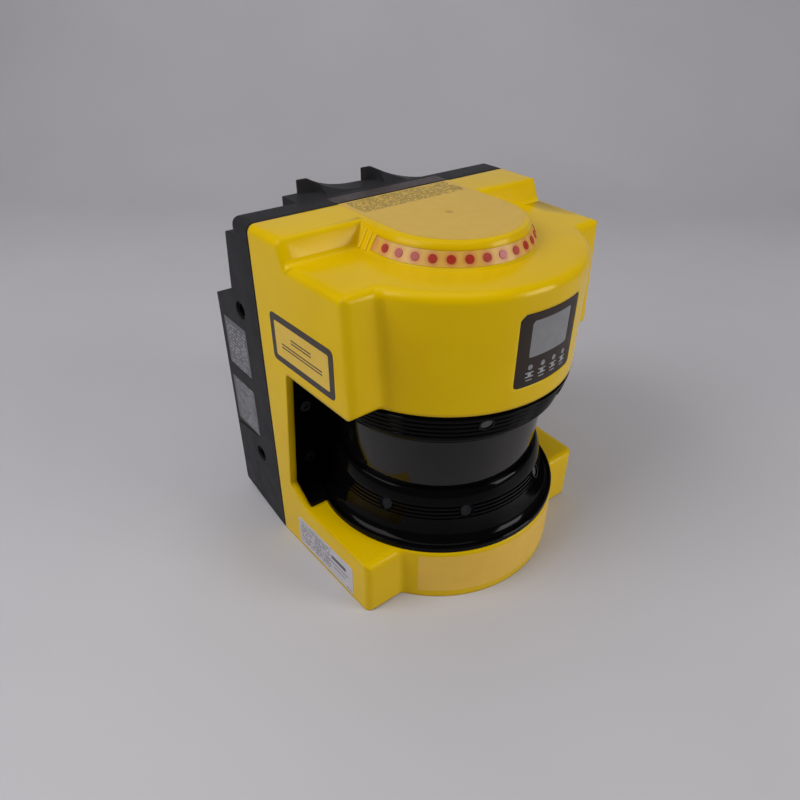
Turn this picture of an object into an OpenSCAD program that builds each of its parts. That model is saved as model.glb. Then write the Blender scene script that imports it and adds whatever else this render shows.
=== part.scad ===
/* [Housing] */
// Width across the housing where it meets the rear cover
housing_w = 166; // [160:1:172]
// Angle by which each side leans in towards the front
side_taper = 2.25; // [1.5:0.05:3]
// Height of the raised rear band and of the dome
housing_h = 191; // [188:0.5:196]
// Rise of the rear band and dome above the deck
band_rise = 10.7; // [9:0.1:12]
// Height of the foot and of the base drum
foot_h = 34.3; // [32:0.1:37]
// Height of the scanning gap between foot and head
scan_gap = 87; // [84:0.5:90]
// Distance from the scan axis back to the rear edge of the housing
split_y = 42; // [40:0.5:45]
// Radius of the upper drum
drum_r = 70; // [69:0.5:72]
// Radius of the base drum
base_r = 70.6; // [69.5:0.1:73]
// Distance from the scan axis forward to the wings at deck level
wing_reach = 31.3; // [29:0.1:34]
// Run by which the wing fronts lean out from deck to underside
wing_lean = 3; // [1:0.1:4]
// Distance from the scan axis forward to the front of the foot
foot_reach = 41.8; // [39:0.1:45]
// Front edge of the rear band, behind the scan axis
band_front = 16.4; // [14:0.1:19]
// Run of the sloped facet between the band and the deck
band_run = 5; // [3:0.1:7]
// Radius of the upper edge of the rear band's slope
band_edge_r = 2.6; // [1:0.1:3]
// Front edge of the side columns at the head
column_top_y = 20.3; // [18:0.1:23]
// Front edge of the side columns at their foot
column_low_y = 29.2; // [27:0.1:30.2]
// Rise of the slanted brace between foot and column
brace_rise = 9.5; // [7:0.1:12]
// Rear edge of the open top of the foot
foot_back_y = 14.5; // [12:0.1:17]
// Thickness of the moulded walls
wall = 3.5; // [3:0.1:4]
// Width of the side columns seen from the front
column_t = 4.5; // [4:0.1:5]
// Radius of the large outer edges
edge_r = 4.5; // [3:0.1:6]

/* [Dome and sector lights] */
// Radius of the dome at its top
dome_r = 38.3; // [37:0.1:39.5]
// Radius of the dome where it meets the deck
dome_base_r = 43.2; // [42:0.1:44]
// Distance from the scan axis forward to the dome centre
dome_offset = 2.7; // [1:0.1:4]
// Number of sector lights
led_count = 16; // [12:2:16]
// Angle from one sector light to the next
led_pitch = 11.3; // [11:0.1:11.5]
// Radius of a sector light
led_r = 1.95; // [1.7:0.05:2.2]
// Width of the light band up the slope of the dome
light_band_w = 7; // [6:0.1:7.6]
// Depth of the recess that holds the light band
light_band_t = 0.9; // [0.7:0.1:1.2]

/* [Scan window] */
// Distance of the window's lower edge inside the base drum
window_low_inset = 15.4; // [14.6:0.1:16]
// Distance of the window's upper edge inside the upper drum
window_top_inset = 10.4; // [10:0.1:12]
// Thickness of the window
window_t = 3; // [2.5:0.1:3.5]
// Height of the visible rim of the lower ring above the foot
rim_rise = 31.6; // [29:0.1:33]
// Depth of the upper ring below the head
ring_drop = 21.4; // [20:0.1:24]
// Number of ridges on the upper ring
upper_ridges = 5; // [3:1:6]
// Number of ridges on the lower ring
lower_ridges = 4; // [3:1:5]
// Height of the grooves between the ridges of the upper ring
upper_groove = 1.5; // [1.2:0.1:1.7]
// Step inwards from one ridge of the upper ring to the next
ridge_step = 1.1; // [0.9:0.1:1.2]
// Width of the grooves between the ridges of the lower ring
ridge_groove = 0.8; // [0.5:0.1:1]
// Radius of a monitor lens
lens_r = 3; // [2.8:0.1:3.5]
// Thickness of the collar round a monitor lens
lens_collar_t = 1; // [0.8:0.1:1.2]
// Angle from the front to the inner upper monitor lenses
upper_lens_angle = 22; // [20:1:24]
// Angle from the front to the inner lower monitor lenses
lower_lens_angle = 25; // [23:1:27]
// Angle from the inner to the outer monitor lenses
lens_spread = 40; // [36:1:44]

/* [Chamber wall] */
// Front face of the wall behind the window
chamber_y = 33; // [32:0.1:34]
// Thickness of the wall behind the window
chamber_t = 3; // [2.5:0.1:3.2]
// Height of the lip along the rear edge of the foot
lip_h = 2.7; // [2:0.1:3.5]
// Distance of the wall screws inside the housing's side
wall_screw_inset = 15.5; // [14:0.5:17]
// Height of the lower wall screws above the foot
wall_screw_z = 21; // [18:0.5:24]
// Height from the lower to the upper wall screws
wall_screw_pitch = 35; // [32:0.5:40]
// Radius of the wall screw heads
wall_screw_r = 3.2; // [3:0.1:3.6]

/* [Display] */
// Angle of the display from the front
display_turn = 3; // [0:0.5:5]
// Angle that the display panel spans on the drum
panel_span = 32.6; // [31:0.1:34]
// Height of the display panel
panel_h = 37; // [36:0.5:39]
// Height of the panel's middle above the middle of the drum's face
panel_offset = -0.8; // [-2:0.1:1]
// Depth of the panel in the drum
panel_t = 0.9; // [0.7:0.1:1.2]
// Radius of the panel's corners
panel_corner_r = 2.5; // [1.5:0.1:3]
// Cut-off at the panel's upper left corner
panel_cut = 2.6; // [2.4:0.1:3]
// Angle that the screen spans on the drum
screen_span = 21.4; // [20:0.1:23]
// Height of the screen
screen_h = 18.2; // [17:0.1:19]
// Radius of the screen's corners
screen_corner_r = 1.3; // [1:0.1:1.6]
// Height of the screen's lower edge above the panel's
screen_rise = 14.8; // [14.4:0.1:15.6]
// Height of the row of status lights above the panel's lower edge
status_rise = 10; // [9:0.1:11]
// Angle from one status light to the next
status_pitch = 6.3; // [6:0.1:6.8]
// Radius of a status light
status_r = 1.35; // [1.1:0.05:1.6]
// Depth of the display board behind the face of the drum
display_depth = 9; // [8:0.1:11]

/* [Rear cover] */
// Thickness of the gasket between housing and cover
gasket_t = 1; // [0.8:0.1:1.5]
// Depth of the gasket's edge below the outer surfaces
gasket_inset = 1.2; // [0.8:0.1:1.4]
// Rear face of the cover's upper slab
slab_back = 57.5; // [56:0.1:59]
// Rear face of the cover's middle step
step_back = 69.5; // [68:0.1:71]
// Height of the middle step at the sides
step_h = 181.5; // [179:0.1:184]
// Rear face of the deep rear block
block_back = 95.3; // [93:0.1:98]
// Height of the rear block where it leaves the step
block_h = 149.5; // [147:0.1:152]
// Fall of the rear block's sloped top
block_fall = 10.4; // [9:0.1:12]
// Rise of the sloped underside towards the rear
belly_rise = 7.5; // [6:0.1:9]
// Height of the joint above the connection module
module_h = 54.4; // [52:0.1:57]
// Width of the groove above the connection module
module_gap = 1.5; // [1.2:0.1:2]
// Left edge of the raised middle of the step
crown_left = 49; // [47:0.1:51]
// Left edge of the left ear, from the middle
ear_left = 40.3; // [39:0.1:42]
// Distance from one ear to the next
ear_pitch = 40.1; // [39:0.1:42]
// Width of the flat top of an ear
ear_w = 5.5; // [5:0.1:7]
// Height of the ears above the cover
ear_h = 7; // [6:0.1:8]
// Radius of the hollow in front of the left ear
ear_hollow_r = 14; // [12:0.5:15]

/* [Side mounting holes] */
// Distance from the lower to the upper mounting hole
mount_pitch = 95; // [90:0.5:98]
// Height of the lower mounting hole
mount_z = 44.7; // [43:0.1:47]
// Distance of the mounting holes behind the scan axis
mount_y = 62.9; // [62:0.1:63.5]
// Outer radius of the threaded insert
insert_r = 5; // [4.8:0.1:5.4]
// Radius of the tapped hole in the insert
tap_r = 3.4; // [3:0.1:3.8]
// Length of the insert
insert_l = 12; // [10:0.5:13]

/* [Fasteners and connectors] */
// Distance of the cover screws inside the housing's side
cover_screw_inset = 7.5; // [7:0.1:8]
// Radius of the cover screw shanks
cover_screw_r = 2.1; // [1.9:0.05:2.4]
// Distance of the module screws inside the housing's side
module_screw_inset = 17; // [15:0.5:22]
// Distance of each cable connector from the middle
connector_x = 22; // [18:0.5:30]
// Outer radius of a cable connector
connector_r = 8; // [7:0.1:8.4]
// Height of a cable connector above the slope
connector_h = 7; // [6:0.1:9]
// Pins in each cable connector
connector_pins = 5; // [4:1:8]

/* [Optics and rotor] */
// Radius of the rotor shaft
shaft_r = 3; // [2.5:0.1:3.5]
// Running clearance of the shaft in its bearings
shaft_fit = 0.04; // [0.02:0.01:0.08]
// Outer radius of the shaft bearings
bearing_r = 9; // [8:0.1:10]
// Outer radius of the motor can
motor_r = 21; // [20:0.5:23]
// Length of the motor can
motor_l = 30; // [28:0.5:31]
// Radius of the turning mirror
mirror_r = 20; // [18:0.5:22]
// Thickness of the mirror glass
mirror_t = 2; // [1.5:0.1:3]
// Radius of the encoder disc
encoder_r = 24; // [23:0.1:25]
// Slots around the encoder disc
encoder_slots = 24; // [16:4:36]
// Radius of the receiver lens
receiver_r = 23.8; // [22:0.1:25]
// Gap between the receiver tube and the board of the sector lights
receiver_headroom = 15.4; // [12:0.1:20]
// Radius of the laser module
laser_r = 6; // [5:0.1:7]
// Thickness of the circuit boards
board_t = 1.6; // [1.2:0.1:2]

/* [Hidden] */
$fn = 96;

// Levels and planes of the housing
half_w = housing_w / 2;
head_z = foot_h + scan_gap;
deck_z = housing_h - band_rise;
cover_y = split_y + gasket_t;
cover_screw_x = half_w - cover_screw_inset;
module_screw_x = half_w - module_screw_inset;
wall_screw_x = half_w - wall_screw_inset;
far = 300;
eps = 0.01;
// Clearance of a fixed piece in its seat, and of a lens or light in its hole
seat = 0.2;
snug = 0.05;

// Levels of the window and its rings
window_low_r = base_r - window_low_inset;
window_top_r = drum_r - window_top_inset;
ring_z = head_z - ring_drop;
rim_z = foot_h + rim_rise;
window_bottom_z = rim_z - 4.9;
window_top_z = ring_z + 6;
groove_bottom_z = window_bottom_z - 1;
groove_top_z = window_top_z + 1.5;
ring_web_t = 4.2;
ring_top_r = drum_r - 0.4;
ring_cut_y = chamber_y - seat;
dish_r = base_r - 0.4;

// Levels of the optics and the rotor
web_z = rim_z - 15.9;
web_t = 3.5;
web_top_z = web_z + web_t;
disc_z = web_top_z + 2.5;
disc_t = 1;
hub_z = disc_z + disc_t;
carrier_z = hub_z + 5;
mirror_z = carrier_z + mirror_r + 2;
flange_t = 4;
motor_flange_r = motor_r + 7;
motor_z = web_z - flange_t - motor_l;
bearing_l = 6;
can_t = 2;
tube_t = 3;
tube_z = head_z;
receiver_l = deck_z - board_t - receiver_headroom - tube_z;
laser_l = receiver_l - 16;
lens_z = tube_z + 4;
lens_t = 6;

// Levels and planes of the rear cover
module_y = step_back + 1.1;
block_slope = atan(block_fall / (block_back - 2 - module_y));
slope_mid_y = (module_y + block_back - 2) / 2;
slope_mid_z = block_h - block_fall / 2;
insert_recess = 1;
head_screw_z = deck_z - 8.3;
foot_screw_z = foot_h / 2;
head_seat_y = cover_y + 17;
cover_head_r = 2 * cover_screw_r;
module_screw_z = module_h - 20;
module_shank_r = 2.2;
module_head_r = 4;
wall_shank_r = 1.5;
board_y = chamber_y + chamber_t + 3;
board_half_w = half_w - 25;
standoff_x = board_half_w - 8;
power_y = block_back - wall - 4.2;

// Place of the display in the face of the drum
panel_z = (head_z + deck_z) / 2 + panel_offset - panel_h / 2;
display_board_y = drum_r - display_depth;

// Light band and lights on the slope of the dome
dome_edge = 1.8;
slope_top_z = housing_h - dome_edge;
dome_slope = atan((slope_top_z - deck_z) / (dome_base_r - dome_r));
dome_slope_l = norm([dome_base_r - dome_r, slope_top_z - deck_z]);
light_angle = led_pitch * (led_count - 1) / 2;
band_angle = light_angle + 12;
light_l = 6;

// Half width of the housing at a distance y behind the scan axis
function half_at(y) = half_w - (split_y - y) * tan(side_taper);

// Height of the sloped underside of the rear cover
function belly_z(y) = max(0, (y - cover_y - 2) / (block_back - cover_y - 2) * belly_rise);

// Outline with a fillet at each corner: points are [x, y, fillet radius]
function unit(v) = v / norm(v);
function fillet(a, b, c, r) =
    let (u = unit(a - b), v = unit(c - b), half = acos(u * v) / 2)
    let (centre = b + unit(u + v) * r / sin(half), reach = r / tan(half))
    let (start = b + u * reach - centre, end = b + v * reach - centre)
    let (from = atan2(start.y, start.x), swing = atan2(end.y, end.x) - from)
    let (turn = swing > 180 ? swing - 360 : swing < -180 ? swing + 360 : swing)
    let (steps = max(2, ceil(abs(turn) / 11)))
    [for (i = [0 : steps]) centre + r * [cos(from + turn * i / steps), sin(from + turn * i / steps)]];
function xy(p) = [p.x, p.y];
function rounded(pts) = [for (i = [0 : len(pts) - 1])
    let (n = len(pts), a = xy(pts[(i + n - 1) % n]), b = xy(pts[i]), c = xy(pts[(i + 1) % n]))
    each pts[i].z > 0 ? fillet(a, b, c, pts[i].z) : [b]];

// Outline in Y and Z, drawn across the width
module across(points, width) {
    rotate([90, 0, 90])
        linear_extrude(height = width, center = true)
            polygon(points);
}

// Outline in X and Z, drawn from one Y to another
module along(points, y0, y1) {
    translate([0, y1, 0])
        rotate([90, 0, 0])
            linear_extrude(height = y1 - y0)
                polygon(points);
}

// Rod along Y
module rod(x, z, y0, y1, r) {
    translate([x, y0, z])
        rotate([-90, 0, 0])
            cylinder(h = y1 - y0, r = r);
}

// Rod along X on one side, from the middle outwards
module side_rod(side, y, z, x0, x1, r) {
    translate([side * x0, y, z])
        rotate([0, side * 90, 0])
            cylinder(h = x1 - x0, r = r);
}

module turned(points) {
    rotate_extrude($fn = 144)
        polygon(points);
}

// What lies in front of the chamber wall
module front_of(y) {
    translate([-far / 2, y - far, -far / 2])
        cube([far, far, 2 * far]);
}

// Wedge between the two leaning sides, with its upper side edges rounded
module between_sides(top, inset, r) {
    x = half_w - inset;
    outline = rounded([[-far, -far, 0], [x, -far, 0], [x, top, r], [-far, top, 0]]);
    intersection_for (side = [0, 1])
        mirror([side, 0, 0])
            translate([x, split_y, 0])
                rotate([0, 0, -side_taper])
                    translate([-x, -split_y, 0])
                        along(outline, -far, far);
}

// Plan that rounds the two front corners of the head or the foot
module front_corners(y) {
    x = half_at(-y) + 0.02;
    flare = far * tan(side_taper);
    linear_extrude(height = far)
        polygon(rounded([[-x - flare, far, 0], [-x, 0, edge_r], [x, 0, edge_r], [x + flare, far, 0]]));
}

// Turned drum with its upper edge rounded
module drum(r, z0, z1, fillet_r) {
    rotate_extrude($fn = 144)
        translate([0, z0])
            union() {
                square([r - fillet_r, z1 - z0]);
                square([r, z1 - z0 - fillet_r]);
                translate([r - fillet_r, z1 - z0 - fillet_r])
                    circle(r = fillet_r);
            }
}

// Dome with a straight run back into the rear band; inset gives its inner skin
module dome(inset, z0) {
    top = housing_h - inset;
    foot = dome_base_r - inset;
    shoulder = dome_r - inset;
    side = [[foot + (deck_z - z0) / tan(dome_slope), z0], [shoulder, slope_top_z - inset],
        [shoulder - 0.5, slope_top_z - inset + dome_edge * 0.67], [shoulder - dome_edge, top]];
    translate([0, -dome_offset, 0])
        rotate_extrude($fn = 144)
            polygon([[0, z0], each side, [0, top]]);
    along([each side, each [for (i = [3 : -1 : 0]) [-side[i].x, side[i].y]]], -dome_offset, band_front + 4);
}

// Place on the slope of the dome: X runs outwards, Z along the slope's normal
module on_slope(angle) {
    translate([0, -dome_offset, 0])
        rotate([0, 0, angle - 90])
            translate([(dome_r + dome_base_r) / 2, 0, (deck_z + slope_top_z) / 2])
                rotate([0, dome_slope, 0])
                    children();
}

module each_light() {
    for (i = [0 : led_count - 1])
        on_slope(led_pitch * (i - (led_count - 1) / 2))
            children();
}

// Strip let into the slope of the dome
module slope_strip(depth, margin, angle) {
    c = cos(dome_slope);
    s = sin(dome_slope);
    mid = [(dome_r + dome_base_r) / 2, (deck_z + slope_top_z) / 2];
    w = light_band_w / 2 + margin;
    low = mid + [c, -s] * w;
    high = mid + [-c, s] * w;
    out = [s, c];
    translate([0, -dome_offset, 0])
        rotate([0, 0, -90 - angle])
            rotate_extrude(angle = 2 * angle, $fn = 144)
                polygon([low - out * depth, low + out * margin * 4, high + out * margin * 4, high - out * depth]);
}

// Flat outline with rounded corners, set up before the display; the upper left corner can be cut off
module display_outline(span, inset, z0, z1, r, corner) {
    x = drum_r * sin(span / 2) + 0.06 - inset;
    rotate([0, 0, display_turn])
        along(rounded([[-x, z0 + inset, r], [x, z0 + inset, r], [x, z1 - inset, r],
            [corner - x, z1 - inset, r / 2], [-x, z1 - inset - corner, r / 2]]), -drum_r - 6, -drum_r / 2);
}

// Curved plate on the drum between two angles from the display's middle
module drum_plate(r0, r1, from, to, z0, z1) {
    rotate([0, 0, display_turn - 90 + from])
        rotate_extrude(angle = to - from, $fn = 144)
            translate([r0, z0])
                square([r1 - r0, z1 - z0]);
}

// Hole or light through the drum wall at one place of the status row
module status_rod(index, r, y0, y1) {
    rotate([0, 0, display_turn + status_pitch * (index - 1.5)])
        rod(0, panel_z + status_rise, -y1, -y0, r);
}

module cover_screw_places() {
    for (side = [-1, 1], z = [foot_screw_z, head_screw_z])
        translate([side * cover_screw_x, 0, z])
            children();
}

module mount_places() {
    for (side = [-1, 1], z = [mount_z, mount_z + mount_pitch])
        translate([0, mount_y, z])
            rotate([0, side * 90, 0])
                children();
}

module wall_screw_places() {
    for (side = [-1, 1], z = [wall_screw_z, wall_screw_z + wall_screw_pitch])
        translate([side * wall_screw_x, 0, foot_h + z])
            children();
}

// Rounds the corners between the slope of the rear band and the leaning sides
module slope_corners() {
    steps = 8;
    lean = atan(band_rise / band_run * cos(side_taper));
    swing = 90 - asin(sin(lean) * sin(side_taper));
    back = edge_r / cos(swing / 2);
    for (side = [0, 1], i = [0 : steps - 1])
        mirror([side, 0, 0])
            translate([half_at(band_front), band_front, housing_h])
                rotate([0, 0, -side_taper])
                    rotate([lean, 0, 0])
                        translate([-back * cos(swing / 2), 0, -back * sin(swing / 2)])
                            rotate([0, -swing * (i + 0.5) / steps, 0])
                                translate([edge_r * cos(swing / steps / 2), -40, -12])
                                    cube([12, 60, 24]);
}

// Outer form of the housing: a C seen from the side, with drums, rear band and dome
module housing_form() {
    c_outline = rounded([[split_y, 0, 0], [split_y, deck_z, 0], [-wing_reach, deck_z, edge_r],
        [-wing_reach - wing_lean, head_z, edge_r], [column_top_y, head_z, 2.5],
        [column_low_y, foot_h + brace_rise, 3], [foot_back_y, foot_h, 1], [-foot_reach, foot_h, edge_r],
        [-foot_reach, 0, 1.5]]);
    band_outline = rounded([[split_y, deck_z - 20, 0], [split_y, housing_h, 0.8], [band_front, housing_h, band_edge_r],
        [band_front - band_run, deck_z, 0], [band_front - band_run, deck_z - 20, 0]]);
    intersection() {
        across(c_outline, far);
        between_sides(deck_z, 0, edge_r);
        union() {
            translate([0, -wing_reach, deck_z])
                rotate([-atan(wing_lean / (deck_z - head_z)), 0, 0])
                    translate([0, 0, head_z - deck_z - scan_gap / 2])
                        front_corners(wing_reach);
            translate([0, -foot_reach, -far + foot_h + scan_gap / 2])
                front_corners(foot_reach);
        }
    }
    difference() {
        intersection() {
            across(band_outline, far);
            between_sides(housing_h, 0, edge_r);
        }
        slope_corners();
    }
    intersection() {
        union() {
            drum(drum_r, head_z, deck_z, edge_r);
            drum(base_r, 0, foot_h, 1.5);
        }
        front_of(split_y);
    }
    dome(0, deck_z - 1);
}

// Inner hollow of the housing, open to the rear
module housing_hollow() {
    reach = split_y + 5;
    head = [[reach, head_z + wall], [reach, housing_h - wall], [band_front + wall / 2, housing_h - wall],
        [band_front - band_run + wall / 2, deck_z - wall], [-wing_reach + wall, deck_z - wall],
        [-wing_reach - wing_lean + wall, head_z + wall]];
    foot = [[reach, wall], [reach, foot_h - wall], [-foot_reach + wall, foot_h - wall],
        [-foot_reach + wall, wall]];
    intersection() {
        union() {
            across(head, far);
            across(foot, far);
        }
        between_sides(far, wall, 0);
    }
    translate([0, 0, head_z - 1])
        cylinder(h = deck_z - wall - head_z + 1, r = drum_r - wall);
    translate([0, 0, wall])
        cylinder(h = foot_h, r = base_r - wall);
    dome(wall, deck_z - wall - 1);
    translate([column_t - half_w, column_top_y - far, foot_h])
        cube([housing_w - 2 * column_t, far + reach - column_top_y, scan_gap]);
}

module front_housing() {
    screen_z = panel_z + screen_rise;
    flange_y = chamber_y + chamber_t;
    color("gold")
    difference() {
        union() {
            difference() {
                housing_form();
                housing_hollow();
            }
            // Flanges that carry the chamber wall
            for (side = [0, 1])
                mirror([side, 0, 0])
                    translate([wall_screw_x - 6, flange_y, foot_h - 1])
                        cube([half_w - column_t - wall_screw_x + 7, 4, scan_gap + 2]);
            // Bosses for the cover screws
            cover_screw_places()
                rod(0, 0, split_y - 18, split_y, 5);
            // Studs that carry the light board
            for (x = [-26, 26])
                translate([x, -dome_offset, deck_z])
                    cylinder(h = band_rise - wall + 1, r = 3);
        }
        cover_screw_places()
            rod(0, 0, split_y - 15, split_y + 1, cover_screw_r + snug);
        wall_screw_places()
            rod(0, 0, flange_y - 1, flange_y + 5, wall_shank_r + snug);
        // Recess and cut-outs of the display
        intersection() {
            drum_plate(drum_r - panel_t, drum_r + 5, -panel_span / 2, panel_span / 2, panel_z, panel_z + panel_h);
            display_outline(panel_span, 0, panel_z, panel_z + panel_h, panel_corner_r, panel_cut);
        }
        drum_plate(drum_r - wall - 5, drum_r + 5, -screen_span / 2, screen_span / 2, screen_z, screen_z + screen_h);
        for (i = [0 : 3])
            status_rod(i, status_r + snug, drum_r - wall - 5, drum_r + 5);
        // Recess of the light band and the holes of its lights
        slope_strip(light_band_t, 0.1, band_angle);
        each_light()
            translate([0, 0, -light_l - 4])
                cylinder(h = light_l + 5, r = led_r + snug, $fn = 32);
    }
}

// Closed frame that follows the edge of the housing
module housing_gasket() {
    x = half_w - gasket_inset;
    z = housing_h - gasket_inset;
    r = edge_r - gasket_inset;
    inner_x = half_w - wall;
    color("black")
    along_frame(rounded([[-x, gasket_inset, 0], [x, gasket_inset, 0], [x, z, r], [-x, z, r]]),
        [[-inner_x, wall], [inner_x, wall], [inner_x, housing_h - wall], [-inner_x, housing_h - wall]],
        split_y, cover_y);
}

module along_frame(outer, inner, y0, y1) {
    difference() {
        along(outer, y0, y1);
        along(inner, y0 - 1, y1 + 1);
    }
}

// Height of the sloped joint above the connection module
function joint_z(y) = module_h - (y - (module_y + block_back) / 2) * 0.165;

// Curve that falls from one point to another and flattens out
function scoop(from, to, power) = [for (i = [0 : 10]) let (t = i / 10)
    [from.x + (to.x - from.x) * t, to.y + (from.y - to.y) * pow(1 - t, power)]];

// Crown of the cover with its two ears
module crown() {
    top = housing_h + ear_h;
    second = ear_pitch - ear_left;
    left_edge = [[-crown_left, block_h], [-crown_left, housing_h], [-ear_left, housing_h], [-ear_left, top]];
    profile = [each left_edge, each scoop([ear_w - ear_left, top], [second, housing_h], 3), [second, top],
        each scoop([second + ear_w, top], [crown_left + 4, step_h + 4], 2), [crown_left + 4, block_h]];
    difference() {
        intersection() {
            along(profile, slab_back - 6, step_back + 0.5);
            across(rounded([[slab_back - 6, block_h, 0], [slab_back - 6, housing_h, 0], [slab_back, housing_h, 0],
                [slab_back + 7, top, 2], [step_back + 0.5, top, 1], [step_back + 0.5, block_h, 0]]), far);
        }
        translate([-ear_left, slab_back, housing_h])
            cylinder(h = ear_h + 2, r = ear_hollow_r - 3.5);
        translate([second, slab_back + 3.5, housing_h])
            cylinder(h = ear_h + 2, r = ear_hollow_r - 6);
    }
}

// Side outline of the rear cover and of its hollow
function cover_outline() = [[cover_y, 0, 0], [cover_y, housing_h, 0.8], [slab_back, housing_h, 2],
    [slab_back, step_h, 0], [step_back - 2, step_h, 2.5], [module_y, block_h, 0],
    [block_back - 2, block_h - block_fall, 3], [block_back, block_h - block_fall - 6, 3],
    [block_back, belly_rise, 3], [cover_y + 2, 0, 0]];
function cover_hollow() = [[cover_y - 1, wall], [cover_y - 1, housing_h - wall], [slab_back - wall, housing_h - wall],
    [slab_back - wall, step_h - wall], [step_back - 2 - wall, step_h - wall], [module_y - wall, block_h - wall],
    [block_back - 3 - wall, block_h - block_fall - wall], [block_back - wall, block_h - block_fall - wall - 5],
    [block_back - wall, joint_z(block_back) + module_gap + wall],
    [module_y - wall, joint_z(module_y) + module_gap + wall], [module_y - wall, belly_z(module_y) + wall],
    [cover_y + 2, wall]];

module cover_form() {
    x = half_w;
    intersection() {
        across(rounded(cover_outline()), far);
        along(rounded([[-x, -1, 0], [x, -1, 0], [x, housing_h, edge_r], [-x, housing_h, edge_r]]), 0, far);
        linear_extrude(height = far)
            polygon(rounded([[-x, 0, 0], [x, 0, 0], [x, block_back, edge_r], [-x, block_back, edge_r]]));
    }
}

// Space of the connection module below and behind the cover
module module_space(gap, y0) {
    across([[y0, -5], [y0, joint_z(y0) + gap], [block_back + 5, joint_z(block_back + 5) + gap],
        [block_back + 5, -5]], far);
}

module rear_cover() {
    groove_y = mount_y - 0.2;
    color("dimgray")
    difference() {
        union() {
            difference() {
                union() {
                    cover_form();
                    crown();
                }
                intersection() {
                    across(cover_hollow(), far);
                    translate([wall - half_w, 0, 0])
                        cube([housing_w - 2 * wall, far, far]);
                }
                module_space(module_gap, module_y - seat);
            }
            // Bosses of the threaded inserts
            for (side = [-1, 1], z = [mount_z, mount_z + mount_pitch])
                side_rod(side, mount_y, z, half_w - insert_recess - insert_l - 3, half_w - 1, insert_r + 2);
            // Posts of the cover screws
            cover_screw_places()
                rod(0, 0, cover_y, step_back - 2, cover_head_r + 2);
            // Bosses of the module screws
            for (side = [-1, 1])
                rod(side * module_screw_x, module_screw_z, module_y - 14, module_y - seat, module_shank_r + 2.8);
        }
        for (side = [-1, 1], z = [mount_z, mount_z + mount_pitch])
            side_rod(side, mount_y, z, half_w - insert_recess - insert_l, half_w + 1, insert_r + snug);
        cover_screw_places() {
            rod(0, 0, cover_y - 1, head_seat_y + 1, cover_screw_r + snug);
            rod(0, 0, head_seat_y, block_back + 5, cover_head_r + seat);
        }
        for (side = [-1, 1])
            rod(side * module_screw_x, module_screw_z, module_y - 12, module_y + 1, module_shank_r + snug);
        // Groove that carries the module's joint on to the step
        for (side = [0, 1])
            mirror([side, 0, 0])
                translate([half_w - 1, 0, 0])
                    intersection() {
                        across([[groove_y, joint_z(groove_y)], [groove_y, joint_z(groove_y) + module_gap],
                            [module_y + 1, joint_z(module_y + 1) + module_gap],
                            [module_y + 1, joint_z(module_y + 1)]], 20);
                        cube([5, far, far]);
                    }
        // Openings of the cable connectors
        for (side = [-1, 1])
            on_block(side * connector_x)
                translate([0, 0, -wall * 2])
                    cylinder(h = wall * 3, r = connector_r + snug);
    }
}

// Place on the sloped top of the rear block
module on_block(x) {
    translate([x, slope_mid_y, slope_mid_z])
        rotate([-block_slope, 0, 0])
            children();
}

module connection_module() {
    inner = [[module_y - 1, belly_z(module_y) + wall], [module_y - 1, joint_z(module_y) - wall],
        [block_back - wall, joint_z(block_back) - wall], [block_back - wall, belly_rise + wall]];
    color("dimgray")
    difference() {
        union() {
            difference() {
                intersection() {
                    cover_form();
                    module_space(0, module_y);
                }
                intersection() {
                    across(inner, far);
                    translate([wall - half_w, 0, 0])
                        cube([housing_w - 2 * wall, far, far]);
                }
            }
            for (side = [-1, 1])
                rod(side * module_screw_x, module_screw_z, module_y, block_back - 1, module_head_r + 2.5);
        }
        for (side = [-1, 1]) {
            rod(side * module_screw_x, module_screw_z, module_y - 1, block_back + 1, module_shank_r + snug);
            rod(side * module_screw_x, module_screw_z, block_back - 6, block_back + 1, module_head_r + seat);
        }
    }
}

// Radius of the window's outer face at a height, and of its inner face
function window_r(z) = window_low_r
    + (window_top_r - window_low_r) * (z - window_bottom_z) / (window_top_z - window_bottom_z);

// Turned band that follows the window: offset outwards and inwards, between two heights
module window_band(out, in, z0, z1) {
    turned([[window_r(z0) - window_t - in, z0], [window_r(z0) + out, z0], [window_r(z1) + out, z1],
        [window_r(z1) - window_t - in, z1]]);
}

module scan_window() {
    color([0.3, 0.12, 0.12, 0.6])
    intersection() {
        window_band(0, 0, window_bottom_z, window_top_z);
        front_of(ring_cut_y);
    }
}

module window_seals() {
    color("black")
    intersection() {
        union() {
            window_band(0, 0, window_top_z, groove_top_z);
            window_band(0, 0, groove_bottom_z, window_bottom_z);
        }
        front_of(ring_cut_y);
    }
}

// Place of a monitor lens, its axis pointing out of the ring
module lens_places(angle, pairs, r, z, tilt) {
    for (side = [-1, 1], step = [0 : pairs - 1])
        rotate([0, 0, side * (angle + step * lens_spread) - 90])
            translate([r, 0, z])
                rotate([0, 90 - tilt, 0])
                    children();
}

module upper_lens_places() {
    lens_places(upper_lens_angle, 1, ring_top_r - 2.9, head_z - 6.4, -14)
        children();
}

module lower_lens_places() {
    lens_places(lower_lens_angle, 2, window_low_r + 6, rim_z - 11.2, 24)
        children();
}

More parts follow.
